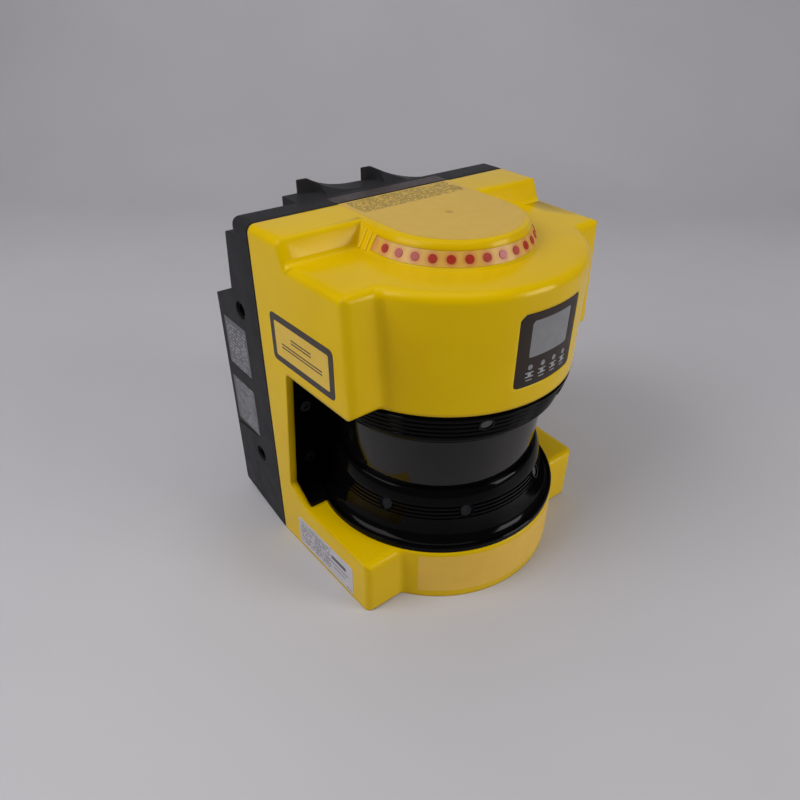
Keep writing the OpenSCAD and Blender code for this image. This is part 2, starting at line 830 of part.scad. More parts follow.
module upper_window_ring() {
    h = (ring_drop - 5.4) / upper_ridges;
    z0 = head_z - 2.4;
    steps = [for (i = [0 : upper_ridges - 1]) let (r = ring_top_r - i * ridge_step, z = z0 - i * h)
        each [[r - 0.3, z], [r, z - 0.3], [r, z - h + upper_groove], [r - ridge_step - 0.9, z - h + upper_groove],
            [r - ridge_step - 0.9, z - h]]];
    low_r = window_r(ring_z) + 2;
    color("black")
    intersection() {
        difference() {
            union() {
                turned([[0, head_z - ring_web_t], [0, head_z], [ring_top_r - 1.2, head_z], [ring_top_r - 1.2, z0],
                    each steps, [low_r + 1, ring_z + 0.6], [low_r, ring_z], [window_r(ring_z) - window_t - 3, ring_z],
                    [window_r(ring_z) - window_t - 3, groove_top_z + 2], [ring_top_r - 9, groove_top_z + 4],
                    [ring_top_r - 9, head_z - ring_web_t]]);
                upper_lens_places()
                    translate([0, 0, -1.5])
                        cylinder(h = 3.6, r = lens_r + lens_collar_t);
            }
            window_band(seat, seat, ring_z - 1, groove_top_z);
            // Way of the light up to the receiver
            translate([0, 0, head_z - ring_web_t - 1])
                cylinder(h = ring_web_t + 2, r = receiver_r - 1.5);
            upper_lens_places()
                cylinder(h = 9, r = lens_r + snug);
        }
        front_of(ring_cut_y);
    }
}

module lower_window_ring() {
    h = 8.5 / lower_ridges;
    wall_r = window_low_r + 6.8;
    z0 = rim_z - 7.4;
    steps = [for (i = [0 : lower_ridges - 1]) let (r = wall_r - 1.6 + i * 0.5, z = z0 - i * h)
        each [[r, z], [r, z - h + ridge_groove], [r - 1, z - h + ridge_groove], [r - 1, z - h]]];
    bowl = [for (i = [0 : 10]) let (a = i * 9) [dish_r - 2.2 - (dish_r - 2.2 - wall_r) * cos(a),
        foot_h + 1.8 + (rim_rise - 17.9) * (1 - sin(a))]];
    neck_r = window_r(rim_z);
    color("black")
    intersection() {
        difference() {
            union() {
                turned([[neck_r - window_t - 3, rim_z], [neck_r + 1.9, rim_z], [neck_r + 2.6, rim_z - 0.7],
                    [wall_r - 1.6, z0 + 0.5], each steps, each bowl, [dish_r - 1.2, foot_h + 3.1],
                    [dish_r - 0.4, foot_h + 3.1], [dish_r, foot_h + 2.6], [dish_r, foot_h],
                    [base_r - 5, foot_h], [wall_r - 4.6, web_z - 4], [wall_r - 4.6, web_top_z],
                    [neck_r - window_t - 3, web_top_z]]);
                lower_lens_places()
                    translate([0, 0, -3])
                        cylinder(h = 3.2, r = lens_r + lens_collar_t);
                difference() {
                    union() {
                        translate([seat - half_w + column_t, foot_back_y, foot_h])
                            cube([housing_w - 2 * column_t - 2 * seat, far, 2]);
                        translate([seat - half_w + column_t, foot_back_y, foot_h])
                            cube([housing_w - 2 * column_t - 2 * seat, 2.5, lip_h]);
                    }
                    translate([0, 0, foot_h - 1])
                        cylinder(h = 20, r = dish_r - 3, $fn = 144);
                }
            }
            window_band(seat, seat, groove_bottom_z, rim_z + 1);
            lower_lens_places()
                translate([0, 0, -3])
                    cylinder(h = 12, r = lens_r + snug);
        }
        front_of(ring_cut_y);
    }
}

module chamber_wall() {
    x = half_w - column_t - seat;
    z = foot_h + 2;
    edge = 0.8;
    color("black")
    difference() {
        union() {
            along([[-x, foot_h], [x, foot_h], [x, head_z], [-x, head_z]], chamber_y, chamber_y + chamber_t);
            // Linings of the columns
            for (side = [-1, 1])
                translate([side * (x - 1), 0, 0])
                    across([[chamber_y + 1, z], [chamber_y + 1, head_z], [column_top_y + edge, head_z],
                        [column_low_y + edge, foot_h + brace_rise], [foot_back_y + 4.6, z]], 2);
            // Ribs beside the window
            for (side = [-1, 1])
                translate([side * (window_low_r + 3) - 1, chamber_y - 1.2, foot_h + 12.5])
                    cube([2, 2, 2]);
        }
        wall_screw_places()
            rod(0, 0, chamber_y - 5, chamber_y + chamber_t + 1, wall_shank_r + snug);
    }
}

module wall_screws() {
    color("silver")
    wall_screw_places()
        difference() {
            union() {
                rod(0, 0, chamber_y, chamber_y + chamber_t + 4, wall_shank_r);
                rod(0, 0, chamber_y - 2.2, chamber_y, wall_screw_r);
            }
            rod(0, 0, chamber_y - 3, chamber_y - 1, wall_shank_r, $fn = 6);
        }
}

module upper_monitor_lenses() {
    color("gray")
    upper_lens_places()
        cylinder(h = 1.6, r = lens_r);
}

module lower_monitor_lenses() {
    color("gray")
    lower_lens_places()
        translate([0, 0, -3])
            cylinder(h = 2.6, r = lens_r);
}

module light_band() {
    color("ivory")
    difference() {
        slope_strip(light_band_t, 0, band_angle - 0.15);
        each_light()
            translate([0, 0, -2])
                cylinder(h = 3, r = led_r + snug, $fn = 32);
    }
}

module sector_lights() {
    color("red")
    each_light()
        translate([0, 0, -light_l])
            cylinder(h = light_l + 0.3, r = led_r, $fn = 32);
}

// Board that carries the sector lights, held by the two studs of the dome
module light_board() {
    color("darkgreen")
    translate([0, -dome_offset, deck_z - board_t])
        difference() {
            cylinder(h = board_t, r = dome_r - 3);
            translate([0, 0, -1])
                cylinder(h = board_t + 2, r = 14);
            for (x = [-26, 26])
                translate([x, 0, -1])
                    cylinder(h = board_t + 2, r = 1.3);
        }
}

module display_panel() {
    z = panel_z;
    gap = 0.15;
    color("black")
    difference() {
        intersection() {
            drum_plate(drum_r - panel_t, drum_r, gap - panel_span / 2, panel_span / 2 - gap, z + gap, z + panel_h - gap);
            display_outline(panel_span, gap, z, z + panel_h, panel_corner_r, panel_cut);
        }
        intersection() {
            drum_plate(drum_r - 3, drum_r + 1, -screen_span / 2, screen_span / 2, z + screen_rise, z + screen_rise + screen_h);
            display_outline(screen_span, 0, z + screen_rise, z + screen_rise + screen_h, screen_corner_r, screen_corner_r);
        }
        for (i = [0 : 3])
            status_rod(i, status_r + snug, drum_r - 5, drum_r + 5);
    }
}

module display_screen() {
    z = panel_z + screen_rise;
    gap = 0.1;
    color("lightgray")
    intersection() {
        drum_plate(drum_r - wall, drum_r - 0.1, gap * 0.8 - screen_span / 2, screen_span / 2 - gap * 0.8, z + gap, z + screen_h - gap);
        display_outline(screen_span, gap, z, z + screen_h, screen_corner_r, screen_corner_r);
    }
}

module status_lights() {
    color("lime")
    for (i = [0 : 3])
        let (a = abs(status_pitch * (i - 1.5)))
            status_rod(i, status_r, (display_board_y + status_r * sin(a)) / cos(a), drum_r + 0.1);
}

module display_board() {
    z = panel_z;
    color("darkgreen")
    rotate([0, 0, display_turn]) {
        translate([-24, -display_board_y, z + 5])
            cube([48, board_t, panel_h - 8]);
        translate([-13, -display_board_y - 3.5, z + screen_rise + 1])
            cube([26, 3.6, screen_h - 3]);
    }
}

module side_inserts() {
    color("goldenrod")
    for (side = [-1, 1], z = [mount_z, mount_z + mount_pitch])
        difference() {
            side_rod(side, mount_y, z, half_w - insert_recess - insert_l, half_w - insert_recess, insert_r);
            side_rod(side, mount_y, z, half_w - insert_recess - insert_l - 1, half_w, tap_r);
        }
}

module cover_screws() {
    color("silver")
    cover_screw_places()
        difference() {
            union() {
                rod(0, 0, split_y - 14, head_seat_y, cover_screw_r);
                rod(0, 0, head_seat_y, head_seat_y + 4.2, cover_head_r);
            }
            rod(0, 0, head_seat_y + 2, head_seat_y + 5, cover_screw_r, $fn = 6);
        }
}

module module_screws() {
    seat_y = block_back - 6;
    color("silver")
    for (side = [-1, 1])
        translate([side * module_screw_x, 0, module_screw_z])
            difference() {
                union() {
                    rod(0, 0, module_y - 11, seat_y, module_shank_r);
                    rod(0, 0, seat_y, seat_y + 4, module_head_r);
                }
                rod(0, 0, seat_y + 2, seat_y + 5, module_shank_r, $fn = 6);
            }
}

module cable_connectors() {
    color("silver")
    for (side = [-1, 1])
        on_block(side * connector_x)
            difference() {
                union() {
                    translate([0, 0, -wall - 3])
                        cylinder(h = connector_h + wall + 3, r = connector_r);
                    cylinder(h = 1.5, r = connector_r + 1.8);
                }
                translate([0, 0, -wall - 4])
                    cylinder(h = connector_h + wall + 5, r = connector_r - 1.6);
            }
}

module connector_inserts() {
    color("black")
    for (side = [-1, 1])
        on_block(side * connector_x) {
            translate([0, 0, -wall - 3])
                cylinder(h = wall + 4, r = connector_r - 1.6 - snug);
            for (i = [0 : connector_pins - 1])
                rotate([0, 0, i * 360 / connector_pins])
                    translate([connector_r / 2, 0, 0])
                        cylinder(h = 5.5, r = 0.5, $fn = 24);
        }
}

module main_board() {
    color("darkgreen")
    difference() {
        along([[-board_half_w, foot_h + 8], [board_half_w, foot_h + 8], [board_half_w, head_z - 6],
            [-board_half_w, head_z - 6]], board_y, board_y + board_t);
        for (x = [-standoff_x, standoff_x], z = [foot_h + 14, head_z - 12])
            rod(x, z, board_y - 1, board_y + board_t + 1, 1.5);
    }
    color("black") {
        translate([-14, board_y + board_t - eps, foot_h + 38])
            cube([28, 2.5, 28]);
        translate([26, board_y + board_t - eps, foot_h + 18])
            cube([16, 7, 30]);
    }
}

module board_standoffs() {
    color("silver") {
        for (x = [-standoff_x, standoff_x], z = [foot_h + 14, head_z - 12])
            rod(x, z, chamber_y + chamber_t, board_y, 3);
        for (x = [-standoff_x, standoff_x], z = [module_h + 18, block_h - 30])
            rod(x, z, power_y + board_t, block_back - wall, 3);
    }
}

module power_board() {
    z = module_h + 11;
    color("darkgreen")
    translate([-board_half_w, power_y, z])
        cube([2 * board_half_w, board_t, block_h - 24 - z]);
    color("black") {
        translate([-40, power_y - 12 + eps, z + 14])
            cube([20, 12, 26]);
        for (x = [-4, 12, 28])
            rod(x, z + 18, power_y - 16, power_y + eps, 5);
    }
}

// Row of screw terminals inside the connection module
module terminal_block() {
    z = belly_rise + wall;
    color("green")
    difference() {
        translate([-40, block_back - wall - 12, z])
            cube([80, 12, 13]);
        for (i = [0 : 9])
            translate([i * 8 - 36, block_back - wall - 6, z + 4])
                cylinder(h = 10, r = 2, $fn = 24);
    }
}

module receiver_tube() {
    color("black")
    translate([0, 0, tube_z])
        difference() {
            cylinder(h = receiver_l, r = receiver_r + snug + tube_t);
            translate([0, 0, -1])
                cylinder(h = receiver_l + 2, r = receiver_r - 1.5);
            translate([0, 0, lens_z - tube_z])
                cylinder(h = receiver_l, r = receiver_r + snug);
        }
}

// Plano-convex lens with a seat for the laser module
module receiver_lens() {
    crown_rise = 2.4;
    edge = lens_t - crown_rise;
    hole_r = laser_r + snug;
    arc = [for (i = [0 : 8]) let (r = receiver_r + (hole_r - receiver_r) * i / 8)
        [r, edge + crown_rise * (1 - pow(r / receiver_r, 2))]];
    color("lightblue")
    translate([0, 0, lens_z])
        turned([[hole_r, 0], [receiver_r, 0], each arc]);
}

module laser_module() {
    color("gray")
    translate([0, 0, tube_z + 1])
        difference() {
            cylinder(h = laser_l, r = laser_r);
            translate([0, 0, -1])
                cylinder(h = 4, r = laser_r - 2);
        }
}

module detector_board() {
    color("darkgreen")
    translate([0, 0, tube_z + receiver_l])
        cylinder(h = board_t, r = receiver_r + tube_t);
    color("black")
    translate([-6, -6, tube_z + receiver_l - 3])
        cube([12, 12, 3 + eps]);
}

module chamber_floor() {
    color("black")
    intersection() {
        difference() {
            translate([0, 0, web_z])
                cylinder(h = web_t, r = window_low_r + 2.2 - seat, $fn = 144);
            translate([0, 0, web_z - 1])
                cylinder(h = web_t + 2, r = shaft_r + 1.5);
            for (a = [0 : 90 : 270])
                rotate([0, 0, a + 45])
                    translate([motor_r + 3.5, 0, web_z - 1])
                        cylinder(h = web_t + 2, r = 1.6);
        }
        front_of(ring_cut_y);
    }
}

module motor_can() {
    color("silver")
    difference() {
        union() {
            translate([0, 0, motor_z])
                cylinder(h = motor_l, r = motor_r);
            translate([0, 0, web_z - flange_t])
                cylinder(h = flange_t, r = motor_flange_r);
        }
        difference() {
            translate([0, 0, motor_z + can_t])
                cylinder(h = motor_l + flange_t - 2 * can_t - 2, r = motor_r - can_t);
            for (z = [motor_z, web_z - bearing_l - 2])
                translate([0, 0, z])
                    cylinder(h = bearing_l + 2, r = bearing_r + 2);
        }
        translate([0, 0, motor_z + 2])
            cylinder(h = bearing_l + 1, r = bearing_r + snug);
        translate([0, 0, web_z - bearing_l])
            cylinder(h = bearing_l + 1, r = bearing_r + snug);
        translate([0, 0, motor_z + 2])
            cylinder(h = motor_l, r = shaft_r + 2);
        for (a = [0 : 90 : 270])
            rotate([0, 0, a + 45])
                translate([motor_r + 3.5, 0, web_z - flange_t - 1])
                    cylinder(h = flange_t + 2, r = 1.6);
    }
}

// Laminated ring with teeth that reach in towards the magnet
module motor_stator() {
    z = motor_z + 11;
    h = motor_l - 18;
    color("chocolate")
    difference() {
        translate([0, 0, z])
            cylinder(h = h, r = motor_r - can_t - snug);
        translate([0, 0, z - 1])
            cylinder(h = h + 2, r = 12.6);
        for (i = [0 : 8])
            rotate([0, 0, i * 40])
                translate([12, -2.6, z - 1])
                    cube([4.5, 5.2, h + 2]);
    }
}

module shaft_bearings() {
    color("silver")
    for (z = [motor_z + 2, web_z - bearing_l])
        translate([0, 0, z])
            difference() {
                cylinder(h = bearing_l, r = bearing_r);
                translate([0, 0, -1])
                    cylinder(h = bearing_l + 2, r = shaft_r + shaft_fit);
            }
}

// Fork that reads the encoder disc
module encoder_sensor() {
    color("black")
    translate([-5, encoder_r - 4, web_top_z])
        difference() {
            cube([10, 11, 7.5]);
            translate([-1, -1, disc_z - web_top_z - 0.8])
                cube([12, 7, disc_t + 1.6]);
        }
}

module rotor_shaft() {
    color("silver")
    union() {
        translate([0, 0, motor_z + 3])
            cylinder(h = carrier_z - motor_z - 4, r = shaft_r);
        translate([0, 0, web_top_z + 0.4])
            cylinder(h = disc_z - web_top_z - 0.4, r = shaft_r + 3);
    }
}

module rotor_magnet() {
    z = motor_z + 10.5;
    color("gray")
    difference() {
        translate([0, 0, z])
            cylinder(h = motor_l - 17, r = 12);
        translate([0, 0, z - 1])
            cylinder(h = motor_l, r = shaft_r + snug);
    }
}

module encoder_disc() {
    color("gray")
    translate([0, 0, disc_z])
        difference() {
            cylinder(h = disc_t, r = encoder_r);
            translate([0, 0, -1])
                cylinder(h = disc_t + 2, r = shaft_r + snug);
            for (i = [0 : encoder_slots - 1])
                rotate([0, 0, i * 360 / encoder_slots])
                    translate([encoder_r - 4.5, -0.8, -1])
                        cube([3, 1.6, disc_t + 2]);
        }
}

// Round block cut at 45 degrees, with a hub that sits on the shaft
module mirror_carrier() {
    color("gray")
    difference() {
        union() {
            translate([0, 0, hub_z])
                cylinder(h = carrier_z - hub_z + 1, r = 13);
            translate([0, 0, carrier_z])
                cylinder(h = 2 * mirror_r, r = mirror_r);
        }
        translate([0, 0, mirror_z])
            rotate([45, 0, 0])
                translate([-far / 2, -far / 2, 0])
                    cube([far, far, far]);
        translate([0, 0, hub_z - 1])
            cylinder(h = carrier_z - hub_z + 0.5, r = shaft_r + snug);
        // Lightening pocket behind the mirror
        translate([-9, 6, carrier_z + 6])
            cube([18, 20, 16]);
    }
}

module scan_mirror() {
    color("lightblue")
    intersection() {
        translate([0, 0, carrier_z])
            cylinder(h = 3 * mirror_r, r = mirror_r);
        translate([0, 0, mirror_z])
            rotate([45, 0, 0])
                translate([-far / 2, -far / 2, 0])
                    cube([far, far, mirror_t]);
    }
}

front_housing();
housing_gasket();
rear_cover();
connection_module();
upper_window_ring();
scan_window();
window_seals();
lower_window_ring();
chamber_wall();
chamber_floor();
wall_screws();
upper_monitor_lenses();
lower_monitor_lenses();
light_band();
sector_lights();
light_board();
display_panel();
display_screen();
status_lights();
display_board();
side_inserts();
cover_screws();
module_screws();
cable_connectors();
connector_inserts();
main_board();
board_standoffs();
power_board();
terminal_block();
receiver_tube();
receiver_lens();
laser_module();
detector_board();
motor_can();
motor_stator();
shaft_bearings();
encoder_sensor();
rotor_shaft();
rotor_magnet();
encoder_disc();
mirror_carrier();
scan_mirror();
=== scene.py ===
import math
import bmesh
import bpy
from mathutils import Matrix, Vector


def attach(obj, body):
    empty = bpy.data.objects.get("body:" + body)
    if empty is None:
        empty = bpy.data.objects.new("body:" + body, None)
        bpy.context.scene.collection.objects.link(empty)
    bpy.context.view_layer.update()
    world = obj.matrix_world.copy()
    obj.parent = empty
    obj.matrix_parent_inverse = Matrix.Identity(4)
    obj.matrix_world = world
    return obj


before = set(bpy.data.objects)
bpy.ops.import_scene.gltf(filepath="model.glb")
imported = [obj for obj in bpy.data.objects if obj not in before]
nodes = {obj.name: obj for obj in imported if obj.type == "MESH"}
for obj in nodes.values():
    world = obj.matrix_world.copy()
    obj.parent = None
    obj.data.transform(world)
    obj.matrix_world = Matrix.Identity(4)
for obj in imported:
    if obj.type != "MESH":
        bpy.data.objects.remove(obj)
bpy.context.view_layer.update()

mm = 0.001
print("stage: frame loaded,", len(nodes), "nodes")


# Camera
cameraSetup = {
    "position": (-203.0, -226.29, 288.84),  # mm
    "azimuth": -37.92,
    "elevation": 34.15,
    "roll": 0.30,
    "lens": 28.89,
    "sensor": 36,
}


def placeCamera(setup):
    azimuth, elevation, roll = (math.radians(setup[key]) for key in ("azimuth", "elevation", "roll"))
    back = Vector((
        math.sin(azimuth) * math.cos(elevation),
        -math.cos(azimuth) * math.cos(elevation),
        math.sin(elevation),
    ))
    level = Vector((math.cos(azimuth), math.sin(azimuth), 0))
    upright = back.cross(level)
    right = level * math.cos(roll) + upright * math.sin(roll)
    up = upright * math.cos(roll) - level * math.sin(roll)
    data = bpy.data.cameras.new("studioCamera")
    data.lens = setup["lens"]
    data.sensor_width = setup["sensor"]
    camera = bpy.data.objects.new("studioCamera", data)
    bpy.context.scene.collection.objects.link(camera)
    turn = Matrix((right, up, back)).transposed().to_4x4()
    camera.matrix_world = Matrix.Translation(Vector(setup["position"]) * mm) @ turn
    bpy.context.scene.camera = camera


placeCamera(cameraSetup)
bpy.context.scene.view_settings.view_transform = "Standard"
print("stage: camera placed")


# Materials
def linearColour(hexValue):
    parts = [int(hexValue[i:i + 2], 16) / 255 for i in (1, 3, 5)]
    return [c / 12.92 if c <= 0.04045 else ((c + 0.055) / 1.055) ** 2.4 for c in parts] + [1.0]


def addNode(tree, kind, sockets, **settings):
    node = tree.nodes.new(kind)
    for name, value in settings.items():
        setattr(node, name, value)
    for name, value in sockets.items():
        if isinstance(value, bpy.types.NodeSocket):
            tree.links.new(value, node.inputs[name])
        elif isinstance(value, str) and value.startswith("#"):
            node.inputs[name].default_value = linearColour(value)
        else:
            node.inputs[name].default_value = value
    return node


noiseSpan = {"From Min": 0.3, "From Max": 0.7}  # the middle of a noise, stretched over the whole range


def surface(name, look):
    # Shade that drifts across the part, patches of gloss, a fine relief and rounded edges, each at its own size
    material = bpy.data.materials.new(name)
    material.use_nodes = True
    tree = material.node_tree
    shader = tree.nodes["Principled BSDF"]
    for socket, value in look.get("fixed", {}).items():
        shader.inputs[socket].default_value = linearColour(value) if isinstance(value, str) else value
    place = addNode(tree, "ShaderNodeTexCoord", {}).outputs["Object"]
    lay = addNode(tree, "ShaderNodeMapping", {"Vector": place, "Scale": look.get("stretch", (1, 1, 1))}).outputs[0]
    drift, patch, grain = (
        addNode(tree, "ShaderNodeTexNoise", {"Vector": seat, "Scale": 1 / (look[key] * mm), **detail}).outputs["Fac"]
        for key, seat, detail in (
            ("drift", lay, {"Detail": 3.0}),
            ("patch", place, {"Detail": 4.0}),
            ("grain", lay, {"Detail": 5.0, "Roughness": 0.55}),
        )
    )
    share = addNode(tree, "ShaderNodeMapRange", {"Value": drift, **noiseSpan})
    colour = addNode(
        tree, "ShaderNodeMix", {0: share.outputs[0], 6: look["base"], 7: look["shade"]}, data_type="RGBA",
    )
    smooth, dull = look["rough"]
    gloss = addNode(tree, "ShaderNodeMapRange", {"Value": patch, **noiseSpan, "To Min": smooth, "To Max": dull})
    relief = addNode(tree, "ShaderNodeBump", {"Height": grain, "Distance": look["depth"] * mm, "Strength": 1.0})
    if "edge" in look:
        rounding = addNode(tree, "ShaderNodeBevel", {"Radius": look["edge"] * mm}, samples=6)
        tree.links.new(rounding.outputs[0], relief.inputs["Normal"])
    tree.links.new(colour.outputs[2], shader.inputs["Base Color"])
    tree.links.new(gloss.outputs[0], shader.inputs["Roughness"])
    tree.links.new(relief.outputs[0], shader.inputs["Normal"])
    return material, tree, shader, place, colour.outputs[2]


# drift, patch, grain, depth and edge are in mm, rough is the range of the roughness
finishes = {
    # Moulded ABS in yellow: semi-gloss, soft broad highlights and a faint orange peel
    "mouldedAbsYellow": {
        "base": "#e3bc00", "shade": "#ddb500", "drift": 38, "patch": 11, "rough": (0.15, 0.22),
        "grain": 1.3, "depth": 0.012, "edge": 2.8, "fixed": {"IOR": 1.33, "Specular Tint": "#fff0b4"},
    },
    # ABS from a spark-eroded mould: charcoal, dull, with a fine even grain
    "sparkErodedAbs": {
        "base": "#2b2a2c", "shade": "#302f31", "drift": 30, "patch": 9, "rough": (0.44, 0.56),
        "grain": 0.7, "depth": 0.022, "edge": 0.9, "fixed": {"IOR": 1.17},
    },
    # ABS from a polished mould: near black, clear reflections that soften here and there
    "polishedAbsBlack": {
        "base": "#060506", "shade": "#090809", "drift": 20, "patch": 8, "rough": (0.07, 0.14),
        "grain": 1.6, "depth": 0.003, "edge": 0.3, "fixed": {"IOR": 1.17},
    },
    # Screen-printed polyester over black trim: warm black with a quiet sheen
    "satinPolyester": {
        "base": "#261b15", "shade": "#2d2018", "drift": 12, "patch": 5, "rough": (0.32, 0.44),
        "grain": 0.6, "depth": 0.008, "fixed": {"IOR": 1.33},
    },
    # Moulded EPDM rubber: dead matt and slightly dusty
    "mouldedEpdm": {
        "base": "#0f0e0e", "shade": "#1a1918", "drift": 10, "patch": 4, "rough": (0.72, 0.88),
        "grain": 0.4, "depth": 0.04, "fixed": {"IOR": 1.5},
    },
    # Moulded polyamide terminal housing: flat green
    "polyamideGreen": {
        "base": "#1d6b38", "shade": "#185c30", "drift": 8, "patch": 4, "rough": (0.35, 0.5),
        "grain": 0.6, "depth": 0.01, "fixed": {"IOR": 1.53},
    },
    # Zinc-plated steel: cool grey with fine streaks
    "zincPlatedSteel": {
        "base": "#b9bbbd", "shade": "#9a9c9f", "drift": 1.2, "patch": 4, "rough": (0.24, 0.4),
        "grain": 0.4, "depth": 0.01, "stretch": (1, 1, 9), "fixed": {"Metallic": 1.0},
    },
    # Turned brass: warm, with tool lines
    "turnedBrass": {
        "base": "#c7a253", "shade": "#a98642", "drift": 0.8, "patch": 3, "rough": (0.2, 0.34),
        "grain": 0.25, "depth": 0.008, "stretch": (1, 1, 9), "fixed": {"Metallic": 1.0},
    },
    # Brass of the side inserts, dull and nearly black: painted shade of the holes they sit in
    "holeShadedBrass": {
        "base": "#2c2722", "shade": "#221e1a", "drift": 2, "patch": 2, "rough": (0.45, 0.6),
        "grain": 0.4, "depth": 0.02, "fixed": {"Metallic": 1.0},
    },
    # Cast aluminium: light grey, slightly grainy
    "castAluminium": {
        "base": "#a8aaad", "shade": "#8f9194", "drift": 5, "patch": 4, "rough": (0.3, 0.48),
        "grain": 0.5, "depth": 0.03, "fixed": {"Metallic": 1.0},
    },
    # Black anodised metal: dark grey with a metal sheen
    "blackAnodised": {
        "base": "#4c4c50", "shade": "#3c3c40", "drift": 6, "patch": 4, "rough": (0.34, 0.5),
        "grain": 0.4, "depth": 0.01, "stretch": (1, 1, 6), "fixed": {"Metallic": 1.0},
    },
    # Stacked iron sheets: brownish grey with fine layers
    "laminatedIron": {
        "base": "#4a4542", "shade": "#5b534c", "drift": 2, "patch": 3, "rough": (0.45, 0.6),
        "grain": 0.5, "depth": 0.03, "stretch": (1, 1, 8), "fixed": {"Metallic": 1.0},
    },
    # Smoked polycarbonate: nearly black, sharp reflections and a hint of what is behind
    "smokedPolycarbonate": {
        "base": "#2c292a", "shade": "#262324", "drift": 16, "patch": 6, "rough": (0.05, 0.11),
        "grain": 14, "depth": 0.01, "fixed": {"IOR": 1.4, "Transmission Weight": 0.85},
    },
    # Coated glass: grey lens with a faint violet cast
    "coatedGlass": {
        "base": "#28272d", "shade": "#1d1c21", "drift": 2.5, "patch": 1.5, "rough": (0.06, 0.14),
        "grain": 3, "depth": 0.002,
        "fixed": {"IOR": 1.52, "Transmission Weight": 0.3, "Coat Weight": 0.4},
    },
    # Front-surface aluminium mirror: bright and almost perfect
    "mirrorCoat": {
        "base": "#dfe1e4", "shade": "#d2d5da", "drift": 6, "patch": 2, "rough": (0.02, 0.06),
        "grain": 3, "depth": 0.001, "fixed": {"Metallic": 1.0},
    },
    # Red polycarbonate light caps: deep red, slightly lit from within
    "redPolycarbonate": {
        "base": "#a4301f", "shade": "#8a2416", "drift": 1.5, "patch": 0.8, "rough": (0.27, 0.37),
        "grain": 0.6, "depth": 0.01,
        "fixed": {
            "IOR": 1.45, "Subsurface Weight": 0.25, "Subsurface Scale": 1.0 * mm,
            "Emission Color": "#b02a12", "Emission Strength": 0.16,
        },
    },
    # Frosted clear caps of the status lights: milky grey
    "frostedAcrylic": {
        "base": "#8d8d8f", "shade": "#747477", "drift": 1.2, "patch": 0.6, "rough": (0.25, 0.4),
        "grain": 0.5, "depth": 0.01, "fixed": {"IOR": 1.49},
    },
    # Glass epoxy under green solder mask
    "solderMask": {
        "base": "#14502b", "shade": "#104425", "drift": 9, "patch": 3, "rough": (0.3, 0.45),
        "grain": 0.8, "depth": 0.02, "fixed": {"IOR": 1.5},
    },
}
made = {name: surface(name, look)[0] for name, look in finishes.items()}
# The fillets run out flush into the housing, so their own edges stay as they are
filletLook = {key: value for key, value in finishes["mouldedAbsYellow"].items() if key != "edge"}
made["filletAbsYellow"] = surface("filletAbsYellow", filletLook)[0]

screenLook = {
    "base": "#7d7d80", "shade": "#727275", "drift": 6, "patch": 3, "rough": (0.3, 0.42), "grain": 2, "depth": 0.002,
    "fixed": {"IOR": 1.5, "Coat Weight": 0.6, "Coat Roughness": 0.12},
    "cell": 3.4, "line": 0.05, "gap": "#68686b",
}


def liquidCrystal(look):
    # Display at rest: flat grey glass with the faint grid of its cells
    material, tree, shader, place, colour = surface("liquidCrystal", look)
    axes = addNode(tree, "ShaderNodeSeparateXYZ", {0: place}).outputs
    flat = addNode(tree, "ShaderNodeCombineXYZ", {"X": axes["X"], "Y": axes["Z"]}).outputs[0]
    cells = addNode(
        tree, "ShaderNodeTexBrick",
        {"Vector": flat, "Scale": 1 / (look["cell"] * mm), "Mortar Size": look["line"], "Mortar Smooth": 1.0},
        offset=0.0,
    )
    grid = addNode(tree, "ShaderNodeMix", {0: cells.outputs["Fac"], 6: colour, 7: look["gap"]}, data_type="RGBA")
    tree.links.new(grid.outputs[2], shader.inputs["Base Color"])
    return material


bandLook = {
    "base": "#dcae4a", "shade": "#d4a540", "drift": 6, "patch": 2, "rough": (0.34, 0.46), "grain": 1.1, "depth": 0.01,
    "fixed": {"IOR": 1.5, "Subsurface Weight": 0.2, "Subsurface Scale": 1.5 * mm},
    # Colour of the painted glow round each light, pitch of the lights in degrees, their ring and the reach of each
    # painted glow in mm
    "paintedGlow": "#d0904c", "pitch": 11.3, "centreY": -2.7, "radius": 40.75, "middleZ": 184.75, "reach": (1.8, 4.2),
}


def paintedGlowDiffuser(look):
    # Milky polycarbonate over the sector lights: cream, with a warm pink glow painted into its colour round each light
    material, tree, shader, place, colour = surface("milkyPolycarbonatePaintedGlow", look)
    axes = addNode(tree, "ShaderNodeSeparateXYZ", {0: place}).outputs
    step = math.radians(look["pitch"])
    forward = addNode(tree, "ShaderNodeMath", {0: look["centreY"] * mm, 1: axes["Y"]}, operation="SUBTRACT").outputs[0]
    angle = addNode(tree, "ShaderNodeMath", {0: axes["X"], 1: forward}, operation="ARCTAN2").outputs[0]
    turn = addNode(tree, "ShaderNodeMath", {0: angle, 1: step, 2: 0.0}, operation="WRAP").outputs[0]
    swing = addNode(tree, "ShaderNodeMath", {0: turn, 1: step / 2}, operation="SUBTRACT").outputs[0]
    across = addNode(tree, "ShaderNodeMath", {0: swing, 1: look["radius"] * mm}, operation="MULTIPLY").outputs[0]
    above = addNode(tree, "ShaderNodeMath", {0: axes["Z"], 1: look["middleZ"] * mm}, operation="SUBTRACT").outputs[0]
    away = addNode(tree, "ShaderNodeCombineXYZ", {"X": across, "Y": above}).outputs[0]
    distance = addNode(tree, "ShaderNodeVectorMath", {0: away}, operation="LENGTH").outputs["Value"]
    full, none = look["reach"]
    # Painted glow: the base colour turns to the glow colour close to each light and fades out with distance
    paintedHalo = addNode(
        tree, "ShaderNodeMapRange",
        {"Value": distance, "From Min": full * mm, "From Max": none * mm, "To Min": 1.0, "To Max": 0.0},
        interpolation_type="SMOOTHSTEP",
    )
    paintedGlowMix = addNode(tree, "ShaderNodeMix", {0: paintedHalo.outputs[0], 6: colour, 7: look["paintedGlow"]}, data_type="RGBA")
    tree.links.new(paintedGlowMix.outputs[2], shader.inputs["Base Color"])
    return material


